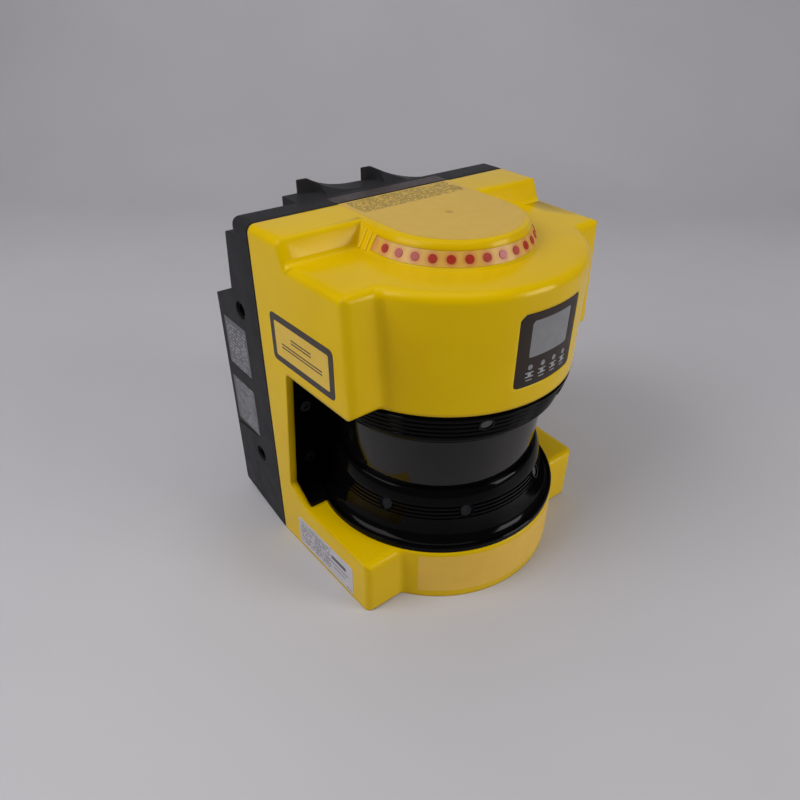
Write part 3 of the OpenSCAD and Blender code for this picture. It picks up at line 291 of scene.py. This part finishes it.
filmLook = {
    "drift": 9, "patch": 4, "grain": 0.8, "depth": 0.005, "rough": (0.34, 0.46), "fixed": {"IOR": 1.45},
    # Mean lengths of words and letters in mm, the noise under which a letter is left out, and each row's shift in m
    "word": 2.6, "letter": 0.7, "letterGaps": 0.42, "rowShift": 0.0371,
}


def printedFilm(name, look):
    # Printed polyester film or paper; rows of broken dashes stand for small print
    sheet = {**filmLook, **look}
    material, tree, shader, place, colour = surface(name, sheet)
    if "ink" in sheet:
        axes = addNode(tree, "ShaderNodeSeparateXYZ", {0: place}).outputs
        u, v = (axes[axis] for axis in sheet["axes"])
        row = addNode(tree, "ShaderNodeMath", {0: v, 1: sheet["row"] * mm}, operation="DIVIDE").outputs[0]
        line = addNode(tree, "ShaderNodeMath", {0: row}, operation="FLOOR").outputs[0]
        part = addNode(tree, "ShaderNodeMath", {0: row}, operation="FRACT").outputs[0]
        shift = addNode(tree, "ShaderNodeMath", {0: line, 1: sheet["rowShift"]}, operation="MULTIPLY").outputs[0]
        seat = addNode(tree, "ShaderNodeCombineXYZ", {"X": u, "Y": shift}).outputs[0]
        words, letters = (
            addNode(tree, "ShaderNodeTexNoise", {"Vector": seat, "Scale": 1 / (length * mm), "Detail": 0.0}).outputs[0]
            for length in (sheet["word"], sheet["letter"])
        )
        ink = addNode(tree, "ShaderNodeMath", {0: part, 1: sheet["weight"]}, operation="LESS_THAN").outputs[0]
        left, right, low, high = (edge * mm for edge in sheet["box"])
        for value, test, limit in (
            (words, "GREATER_THAN", sheet["gaps"]),
            (letters, "GREATER_THAN", sheet["letterGaps"]),
            (u, "GREATER_THAN", left),
            (u, "LESS_THAN", right),
            (v, "GREATER_THAN", low),
            (v, "LESS_THAN", high),
        ):
            passed = addNode(tree, "ShaderNodeMath", {0: value, 1: limit}, operation=test).outputs[0]
            ink = addNode(tree, "ShaderNodeMath", {0: ink, 1: passed}, operation="MULTIPLY").outputs[0]
        drawn = addNode(tree, "ShaderNodeMix", {0: ink, 6: colour, 7: sheet["ink"]}, data_type="RGBA")
        tree.links.new(drawn.outputs[2], shader.inputs["Base Color"])
    return material


finishOf = {
    "mouldedAbsYellow": ["front_housing"],
    "sparkErodedAbs": ["rear_cover", "connection_module"],
    "polishedAbsBlack": ["upper_window_ring", "lower_window_ring", "chamber_wall", "chamber_floor"],
    "satinPolyester": ["display_panel", "connector_inserts", "encoder_sensor"],
    "mouldedEpdm": ["housing_gasket", "window_seals"],
    "polyamideGreen": ["terminal_block"],
    "zincPlatedSteel": ["cover_screws", "module_screws", "shaft_bearings", "rotor_shaft"],
    "turnedBrass": ["board_standoffs", "laser_module"],
    "holeShadedBrass": ["side_inserts"],
    "castAluminium": ["cable_connectors", "motor_can", "encoder_disc"],
    "blackAnodised": ["wall_screws", "receiver_tube", "mirror_carrier"],
    "laminatedIron": ["motor_stator", "rotor_magnet"],
    "smokedPolycarbonate": ["scan_window"],
    "coatedGlass": ["upper_monitor_lenses", "lower_monitor_lenses", "receiver_lens"],
    "mirrorCoat": ["scan_mirror"],
    "redPolycarbonate": ["sector_lights"],
    "frostedAcrylic": ["status_lights"],
    "solderMask": ["light_board", "display_board", "main_board", "power_board", "detector_board"],
    "liquidCrystal": ["display_screen"],
    "milkyPolycarbonatePaintedGlow": ["light_band"],
}
made["liquidCrystal"] = liquidCrystal(screenLook)
made["milkyPolycarbonatePaintedGlow"] = paintedGlowDiffuser(bandLook)
for finishName, names in finishOf.items():
    for name in names:
        nodes[name].data.materials.clear()
        nodes[name].data.materials.append(made[finishName])
print("stage: finishes on the frame")


# Smooth shading that keeps the true corners
edgeLook = {"corner": 27.0, "join": 0.002}  # degrees above which an edge stays sharp, mm


def softEdges(look):
    # Joins the loose faces, shades them smooth and keeps the true corners sharp
    group = bpy.data.node_groups.new("softEdges", "GeometryNodeTree")
    group.interface.new_socket("Geometry", in_out="INPUT", socket_type="NodeSocketGeometry")
    group.interface.new_socket("Geometry", in_out="OUTPUT", socket_type="NodeSocketGeometry")
    source = addNode(group, "NodeGroupInput", {}).outputs[0]
    plain = addNode(group, "GeometryNodeRemoveAttribute", {"Geometry": source, "Name": "custom_normal"}).outputs[0]
    joined = addNode(
        group, "GeometryNodeMergeByDistance", {"Geometry": plain, "Distance": look["join"] * mm},
    ).outputs[0]
    smooth = addNode(
        group, "GeometryNodeSetShadeSmooth", {"Geometry": joined, "Shade Smooth": True}, domain="FACE",
    ).outputs[0]
    angle = addNode(group, "GeometryNodeInputMeshEdgeAngle", {}).outputs["Unsigned Angle"]
    corner = addNode(
        group, "FunctionNodeCompare", {0: angle, 1: math.radians(look["corner"])}, operation="GREATER_THAN",
    ).outputs[0]
    sharp = addNode(
        group, "GeometryNodeSetShadeSmooth", {"Geometry": smooth, "Selection": corner, "Shade Smooth": False},
        domain="EDGE",
    ).outputs[0]
    addNode(group, "NodeGroupOutput", {0: sharp})
    return group


edgeGroup = softEdges(edgeLook)
for node in nodes.values():
    node.modifiers.new("softEdges", "NODES").node_group = edgeGroup
print("stage: edges softened")


# Sizes of the solids that labels and fillets are laid on, in mm and degrees
housing = {
    "halfWidth": 83.0, "split": 42.0, "taper": 2.25, "top": 191.0, "deck": 180.3, "head": 121.3, "foot": 34.3,
    "drum": 70.0, "base": 70.6, "edge": 4.5, "floorEdge": 1.5, "wing": 31.3, "wingLean": 3.0, "toe": 41.8,
}
pieceCorner = 35  # degrees above which an edge of an added piece stays sharp


def halfWidthAt(y):
    return housing["halfWidth"] - (housing["split"] - y) * math.tan(math.radians(housing["taper"]))


def leftSide(u, v, lift):
    return Vector((-halfWidthAt(u) - lift, u, v)) * mm


def rearSide(u, v, lift):
    return Vector((-housing["halfWidth"] - lift, u, v)) * mm


def topFace(u, v, lift):
    return Vector((u, v, housing["top"] + lift)) * mm


def roundFace(radius):
    def place(u, v, lift):
        angle = u / radius
        return Vector(((radius + lift) * math.sin(angle), -(radius + lift) * math.cos(angle), v)) * mm
    return place


def addPiece(name, mesh, material, smooth=False):
    bmesh.ops.recalc_face_normals(mesh, faces=mesh.faces[:])
    for face in mesh.faces:
        face.smooth = smooth
    for edge in mesh.edges:
        edge.smooth = smooth and edge.calc_face_angle(0.0) < math.radians(pieceCorner)
    data = bpy.data.meshes.new(name)
    mesh.to_mesh(data)
    mesh.free()
    piece = bpy.data.objects.new(name, data)
    bpy.context.scene.collection.objects.link(piece)
    data.materials.append(material)
    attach(piece, "scanner")


# Fillets in the inner corners beside the drums
cornerFillets = {
    "radius": 5.5,  # mm
    "steps": 10,
    "levels": 8,
    "near": (0.2, 0.5, 1.0, 1.6, 2.4, 3.4, 4.5),  # extra levels below the top and above the foot, mm
    "tuck": 1.2,  # how far the hidden edge lies inside the housing, mm
    "head": {"low": 121.5, "high": 180.2, "drum": 70.0, "drumEdge": 4.5},
    "foot": {"low": 0.2, "high": 34.1, "drum": 70.6, "drumEdge": 1.5},
}


def edgeInset(distance, radius):
    # How far a rounded edge steps back at a distance below its top
    if distance >= radius:
        return 0.0
    return radius - math.sqrt(max(0.0, radius ** 2 - (radius - distance) ** 2))


def faceAt(part, z):
    edge = housing["edge"]
    if part == "head":
        lean = housing["wingLean"] * (housing["deck"] - z) / (housing["deck"] - housing["head"])
        return -housing["wing"] - lean + edgeInset(housing["deck"] - z, edge) + edgeInset(z - housing["head"], edge)
    return -housing["toe"] + edgeInset(housing["foot"] - z, edge) + edgeInset(z, housing["floorEdge"])


def buildFillet(part, side, look):
    spec = look[part]
    mesh = bmesh.new()
    low, high = spec["low"], spec["high"]
    levels = [low + (high - low) * i / look["levels"] for i in range(look["levels"] + 1)]
    levels = sorted(set(levels + [high - d for d in look["near"]] + [low + d for d in look["near"]]))
    rings = []
    for z in levels:
        face = faceAt(part, z)
        top = housing["deck"] if part == "head" else housing["foot"]
        drum = spec["drum"] - edgeInset(top - z, spec["drumEdge"])
        r = look["radius"]
        centreY = face - r
        centreX = -math.sqrt((drum + r) ** 2 - centreY ** 2)
        start = math.pi / 2
        end = math.atan2(-centreY, -centreX)
        loop = []
        for i in range(look["steps"] + 1):
            a = start + (end - start) * i / look["steps"]
            loop.append((centreX + r * math.cos(a), centreY + r * math.sin(a)))
        inner = -math.sqrt(drum ** 2 - face ** 2)
        loop.append((inner + look["tuck"], face + look["tuck"]))
        rings.append([mesh.verts.new(Vector((side * x, y, z)) * mm) for x, y in loop])
    for below, above in zip(rings, rings[1:]):
        for i in range(len(below)):
            j = (i + 1) % len(below)
            mesh.faces.new((below[i], below[j], above[j], above[i]))
    mesh.faces.new(rings[0])
    mesh.faces.new(rings[-1])
    name = part + ("Fillet_left" if side > 0 else "Fillet_right")
    addPiece(name, mesh, made["filletAbsYellow"], smooth=True)


for part in ("head", "foot"):
    for side in (1, -1):
        buildFillet(part, side, cornerFillets)
print("stage: corner fillets moulded")


# Fillet at the foot of the rear band's slope, running out over the rounded side of the deck
bandFillet = {
    "radius": 3.6, "front": 16.4, "run": 5.0, "inner": 38.0, "steps": 8,
    "stations": (4.5, 3.6, 2.8, 2.1, 1.5, 1.0, 0.6, 0.3, 0.12),  # distances from the housing's side
    "tuck": (1.0, -0.6),
}


def buildBandFillet(side, look):
    mesh = bmesh.new()
    lean = math.atan2(housing["top"] - housing["deck"], look["run"])
    foot = look["front"] - look["run"]
    outer = halfWidthAt(look["front"])
    stations = [(look["inner"], 0.0)]
    stations += [(outer - distance, edgeInset(distance, housing["edge"])) for distance in look["stations"]]
    rings = []
    for x, inset in stations:
        cornerZ = housing["deck"] - inset
        cornerY = foot + inset * math.sin(lean) - inset * (1 - math.cos(lean)) / math.tan(lean)
        reach = look["radius"] * math.tan(lean / 2)
        centreY, centreZ = cornerY - reach, cornerZ + look["radius"]
        loop = []
        for i in range(look["steps"] + 1):
            a = -math.pi / 2 + lean * i / look["steps"]
            loop.append((centreY + look["radius"] * math.cos(a), centreZ + look["radius"] * math.sin(a)))
        loop.append((cornerY + look["tuck"][0], cornerZ + look["tuck"][1]))
        rings.append([mesh.verts.new(Vector((side * x, y, z)) * mm) for y, z in loop])
    for first, second in zip(rings, rings[1:]):
        for i in range(len(first)):
            j = (i + 1) % len(first)
            mesh.faces.new((first[i], first[j], second[j], second[i]))
    mesh.faces.new(rings[0])
    mesh.faces.new(rings[-1])
    name = "bandFillet_left" if side < 0 else "bandFillet_right"
    addPiece(name, mesh, made["filletAbsYellow"], smooth=True)


for side in (-1, 1):
    buildBandFillet(side, bandFillet)
print("stage: band fillets moulded")


# Ribs on the slope of the dome, between the light band and the rear band
domeRibs = {
    "radius": 1.7, "sunk": 0.95, "places": (6.2, 10.6), "foot": (43.0, 180.6), "top": (38.5, 188.6), "sides": 12,
}


def buildRibs(look):
    mesh = bmesh.new()
    outward = Vector((look["top"][1] - look["foot"][1], 0, look["foot"][0] - look["top"][0])).normalized()
    for side in (-1, 1):
        for y in look["places"]:
            rings = []
            for r, z in (look["foot"], look["top"]):
                centre = Vector((r, y, z)) - outward * look["sunk"]
                ring = []
                for i in range(look["sides"]):
                    a = 2 * math.pi * i / look["sides"]
                    p = centre + outward * look["radius"] * math.sin(a) + Vector((0, look["radius"] * math.cos(a), 0))
                    ring.append(mesh.verts.new(Vector((side * p.x, p.y, p.z)) * mm))
                rings.append(ring)
            for i in range(look["sides"]):
                j = (i + 1) % look["sides"]
                mesh.faces.new((rings[0][i], rings[0][j], rings[1][j], rings[1][i]))
            mesh.faces.new(rings[0])
            mesh.faces.new(rings[1])
    addPiece("domeRibs", mesh, made["filletAbsYellow"], smooth=True)


buildRibs(domeRibs)
print("stage: dome ribs moulded")


# Labels and print
def arcPoints(centre, radius, angles):
    turns = [math.radians(angle) for angle in angles]
    return [(centre[0] + radius * math.cos(a), centre[1] + radius * math.sin(a)) for a in turns]


def roundedBox(left, right, low, high, radius, steps=6):
    centres = (
        (right - radius, high - radius), (left + radius, high - radius),
        (left + radius, low + radius), (right - radius, low + radius),
    )
    points = []
    for quarter, centre in enumerate(centres):
        points += arcPoints(centre, radius, [90 * quarter + 90 * i / steps for i in range(steps + 1)])
    return points


def thinSheet(name, outlines, place, lift, thickness, material, step=None):
    # Closed thin sheets cut to flat outlines and laid on a face; step is the spacing of its bends in mm
    mesh = bmesh.new()
    for outline in outlines:
        flat = bmesh.new()
        flat.faces.new([flat.verts.new((u, v, 0)) for u, v in outline])
        if step:
            low, high = min(u for u, v in outline), max(u for u, v in outline)
            cuts = int((high - low) / step)
            for i in range(1, cuts + 1):
                at = low + (high - low) * i / (cuts + 1)
                parts = flat.verts[:] + flat.edges[:] + flat.faces[:]
                bmesh.ops.bisect_plane(flat, geom=parts, plane_co=(at, 0, 0), plane_no=(1, 0, 0))
        flat.verts.index_update()
        under = [mesh.verts.new(place(v.co.x, v.co.y, lift)) for v in flat.verts]
        over = [mesh.verts.new(place(v.co.x, v.co.y, lift + thickness)) for v in flat.verts]
        for face in flat.faces:
            ring = [v.index for v in face.verts]
            mesh.faces.new([over[i] for i in ring])
            mesh.faces.new([under[i] for i in reversed(ring)])
        for edge in flat.edges:
            if edge.is_boundary:
                a, b = (v.index for v in edge.verts)
                mesh.faces.new([over[a], over[b], under[b], under[a]])
        flat.free()
    addPiece(name, mesh, material)


inkThick = 0.02  # mm

sidePlate = {
    "box": (-22.3, 29.7, 127.1, 153.1), "corner": 2.8, "thick": 0.18,  # mm
    "border": 3.6, "fieldCorner": 0.9, "fieldThick": 0.04,
    "ink": {"base": "#332826", "shade": "#3b302d"},
    "field": {"base": "#e0bb46", "shade": "#dab53f"},
    "rules": ((17, 143.6), (17, 141.9), (34, 138.2), (34, 136.5)),  # length, height
    "ruleMiddle": 3.7, "ruleWeight": 0.75, "ruleCorner": 0.3,
}
left, right, low, high = sidePlate["box"]
border, middle = sidePlate["border"], sidePlate["ruleMiddle"]
borderInk = printedFilm("borderInk", sidePlate["ink"])
plateField = printedFilm("plateField", sidePlate["field"])
outline = roundedBox(*sidePlate["box"], sidePlate["corner"])
field = roundedBox(left + border, right - border, low + border, high - border, sidePlate["fieldCorner"])
rules = [
    roundedBox(middle - length / 2, middle + length / 2, z, z + sidePlate["ruleWeight"], sidePlate["ruleCorner"], 2)
    for length, z in sidePlate["rules"]
]
thick, fieldThick = sidePlate["thick"], sidePlate["fieldThick"]
thinSheet("sidePlateBorder", [outline], leftSide, 0.0, thick, borderInk)
thinSheet("sidePlateField", [field], leftSide, thick, fieldThick, plateField)
thinSheet("sidePlateRules", rules, leftSide, thick + fieldThick, inkThick, borderInk)

domeLabel = {
    "centre": (1.2, -2.7), "radius": 34.6, "rearLeft": -33.6, "rearRight": 38.4, "rear": 41.6, "thick": 0.12,
    "film": {
        "base": "#d8b24b", "shade": "#d4ae47", "ink": "#6b5a26", "axes": ("X", "Y"),
        "row": 1.25, "letter": 0.55, "weight": 0.6, "gaps": 0.36, "box": (-30.5, 34.5, 23.0, 40.6),
    },
    "dot": {"base": "#c59a3c", "shade": "#bf9438"}, "dotAt": (2.4, -0.2), "dotRadius": 2.1,
}
outline = arcPoints(domeLabel["centre"], domeLabel["radius"], range(180, 361, 4))
outline += [(domeLabel["rearRight"], domeLabel["rear"]), (domeLabel["rearLeft"], domeLabel["rear"])]
dot = arcPoints(domeLabel["dotAt"], domeLabel["dotRadius"], range(0, 360, 20))
domeFilm = printedFilm("domeFilm", domeLabel["film"])
domeDot = printedFilm("domeDot", domeLabel["dot"])
thinSheet("domeLabel", [outline], topFace, 0.0, domeLabel["thick"], domeFilm)
thinSheet("domeLabelDot", [dot], topFace, domeLabel["thick"], inkThick, domeDot)

slabFilm = {"box": (-33.6, 38.4, 43.3, 52.4), "thick": 0.1, "film": {"base": "#3c3132", "shade": "#362c2d"}}
left, right, low, high = slabFilm["box"]
outline = [(right, high), (left, high), (left, low), (right, low)]
film = printedFilm("slabFilm", slabFilm["film"])
thinSheet("slabFilm", [outline], topFace, 0.0, slabFilm["thick"], film)

baseLabel = {
    "degrees": 47.0, "low": 4.6, "high": 31.2, "corner": 1.2, "thick": 0.1, "step": 2.0,
    "film": {"base": "#eabd46", "shade": "#e5b741"},
}
reach = math.radians(baseLabel["degrees"]) * housing["base"]
outline = roundedBox(-reach, reach, baseLabel["low"], baseLabel["high"], baseLabel["corner"])
film = printedFilm("baseFilm", baseLabel["film"])
onBase = roundFace(housing["base"])
thinSheet("baseLabel", [outline], onBase, 0.0, baseLabel["thick"], film, step=baseLabel["step"])

footLabel = {
    "box": (-28.3, 24.2, 2.2, 22.8), "corner": 1.4, "thick": 0.12,
    "paper": {
        "base": "#c5c2c8", "shade": "#bdbac0", "ink": "#686670", "axes": ("Y", "Z"), "rough": (0.5, 0.65),
        "row": 1.7, "letter": 0.9, "weight": 0.5, "gaps": 0.36, "box": (-7.5, 22.4, 4.6, 21.0),
    },
    "bars": ((-22.0, -8.6, 14.9, 17.6), (-24.0, -3.0, 11.9, 12.5), (-21.5, -10.5, 9.0, 9.6), (-27.0, -22.0, 3.6, 4.2)),
    "barCorner": 0.25, "barInk": {"base": "#57545c", "shade": "#4e4b53"},
}
outline = roundedBox(*footLabel["box"], footLabel["corner"])
bars = [roundedBox(*box, footLabel["barCorner"], 2) for box in footLabel["bars"]]
paper = printedFilm("footPaper", footLabel["paper"])
barInk = printedFilm("footInk", footLabel["barInk"])
thinSheet("footLabel", [outline], leftSide, 0.0, footLabel["thick"], paper)
thinSheet("footLabelBars", bars, leftSide, footLabel["thick"], inkThick, barInk)

rearPlates = {
    "boxes": ((60.8, 86.6, 98.8, 128.2), (61.2, 87.6, 58.6, 89.2)), "corner": 0.8, "thick": 0.12,
    # The lighter shade patches on the foil are a painted metallic sheen; the rows of dashes are print
    "foil": {
        "base": "#56555a", "shade": "#605f65", "ink": "#9c9ca2", "axes": ("Y", "Z"),
        "row": 2.1, "letter": 1.5, "weight": 0.42, "gaps": 0.44, "box": (63.0, 84.8, 61.0, 126.0),
    },
}
plates = [roundedBox(*box, rearPlates["corner"]) for box in rearPlates["boxes"]]
foil = printedFilm("rearFoilWithPaintedSheen", rearPlates["foil"])
thinSheet("rearPlates", plates, rearSide, 0.0, rearPlates["thick"], foil)
print("stage: labels laid")


# Small pictograms under the status lights: a plain block between two bars and a rule each
displayMarks = {
    "degrees": (-6.45, -0.15, 6.15, 12.45), "thick": 0.03, "corner": 0.2, "step": 1.0,
    "ink": {"base": "#a2a2a3", "shade": "#949495"},
    "shapes": (  # left and right of each light, low and high
        (-2.4, 2.4, 138.4, 139.0), (-1.0, 1.0, 136.95, 138.35), (-2.4, 2.4, 136.3, 136.9), (-1.8, 1.8, 134.6, 135.1),
    ),
}
arcOf = math.radians(1) * housing["drum"]  # mm along the drum for each degree
marks = [
    roundedBox(angle * arcOf + left, angle * arcOf + right, low, high, displayMarks["corner"], 2)
    for angle in displayMarks["degrees"] for left, right, low, high in displayMarks["shapes"]
]
markInk = printedFilm("markInk", displayMarks["ink"])
onDrum = roundFace(housing["drum"])
thinSheet(
    "displayMarks", marks, onDrum, 0.0, displayMarks["thick"], markInk, step=displayMarks["step"],
)
print("stage: display marks drawn")


# Floor and backdrop
studio = {
    "front": -1.6, "wallAt": 1.1, "bend": 0.5, "top": 2.2, "halfWidth": 2.4,  # m
    "paint": {
        "base": "#c5c3c7", "shade": "#c0bec2", "drift": 260, "patch": 30, "rough": (0.5, 0.62),
        "grain": 6, "depth": 0.02, "fixed": {"IOR": 1.45},
    },
}


def sweptFloor(look):
    mesh = bmesh.new()
    near, bend = look["wallAt"] - look["bend"], look["bend"]
    profile = [(look["front"], 0.0), (near, 0.0)]
    for angle in range(6, 91, 6):
        a = math.radians(angle)
        profile.append((near + bend * math.sin(a), bend - bend * math.cos(a)))
    profile.append((look["wallAt"], look["top"]))
    turn = Matrix.Rotation(math.radians(cameraSetup["azimuth"]), 3, "Z")
    ends = (-look["halfWidth"], look["halfWidth"])
    rows = [[mesh.verts.new(turn @ Vector((x, y, z))) for x in ends] for y, z in profile]
    for first, second in zip(rows, rows[1:]):
        mesh.faces.new((first[0], first[1], second[1], second[0])).smooth = True
    data = bpy.data.meshes.new("studioFloor")
    mesh.to_mesh(data)
    mesh.free()
    floor = bpy.data.objects.new("studioFloor", data)
    bpy.context.scene.collection.objects.link(floor)
    data.materials.append(surface("paintedBoard", look["paint"])[0])


sweptFloor(studio)
print("stage: floor swept")


# Lamps
lamps = {
    # name: position in m, size in m, power in W, aim in m
    "leftSoftbox": ((-0.92, 0.2, 0.92), 0.8, 8.8, (0.0, 0.0, 0.08)),
    "frontSoftbox": ((0.66, -1.0, 0.5), 0.55, 7.2, (0.0, 0.0, 0.08)),
    "topSoftbox": ((-0.1, 0.05, 1.3), 1.1, 4.0, (0.0, 0.0, 0.1)),
}
air = {"colour": "#f3f1f4", "strength": 0.12}

for name, (position, size, power, aim) in lamps.items():
    data = bpy.data.lights.new(name, "AREA")
    data.shape = "SQUARE"
    data.size = size
    data.energy = power
    lamp = bpy.data.objects.new(name, data)
    bpy.context.scene.collection.objects.link(lamp)
    turn = (Vector(aim) - Vector(position)).to_track_quat("-Z", "Y").to_matrix().to_4x4()
    lamp.matrix_world = Matrix.Translation(position) @ turn

world = bpy.data.worlds.new("studioAir")
bpy.context.scene.world = world
world.use_nodes = True
background = world.node_tree.nodes["Background"]
background.inputs["Color"].default_value = linearColour(air["colour"])
background.inputs["Strength"].default_value = air["strength"]
print("stage: studio lit")
